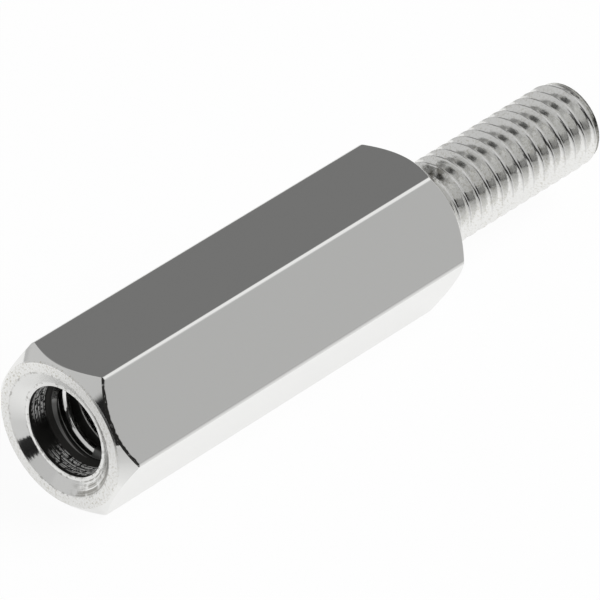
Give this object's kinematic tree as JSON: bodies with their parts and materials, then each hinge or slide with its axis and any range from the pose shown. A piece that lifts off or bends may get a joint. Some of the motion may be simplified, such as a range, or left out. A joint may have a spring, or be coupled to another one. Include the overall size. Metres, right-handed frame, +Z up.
{
  "type": "hex standoff",
  "caption": "Hexagonal male-female threaded spacer: chamfered hex bar with a countersunk blind tapped hole in one end and a threaded stud on the other.",
  "frame": {"origin": "centre of the whole part along and across its axis, at the height of the flat that it lies on", "axes": "+X along the axis from the tapped end face towards the stud's tip, +Z up from the resting flat, +Y level"},
  "size_m": [0.0232, 0.0058, 0.005],
  "materials": {
    "nickel_plate": "bright nickel plating on brass"
  },
  "bodies": {
    "root": {"standoff": "nickel_plate"}
  },
  "joints": []
}
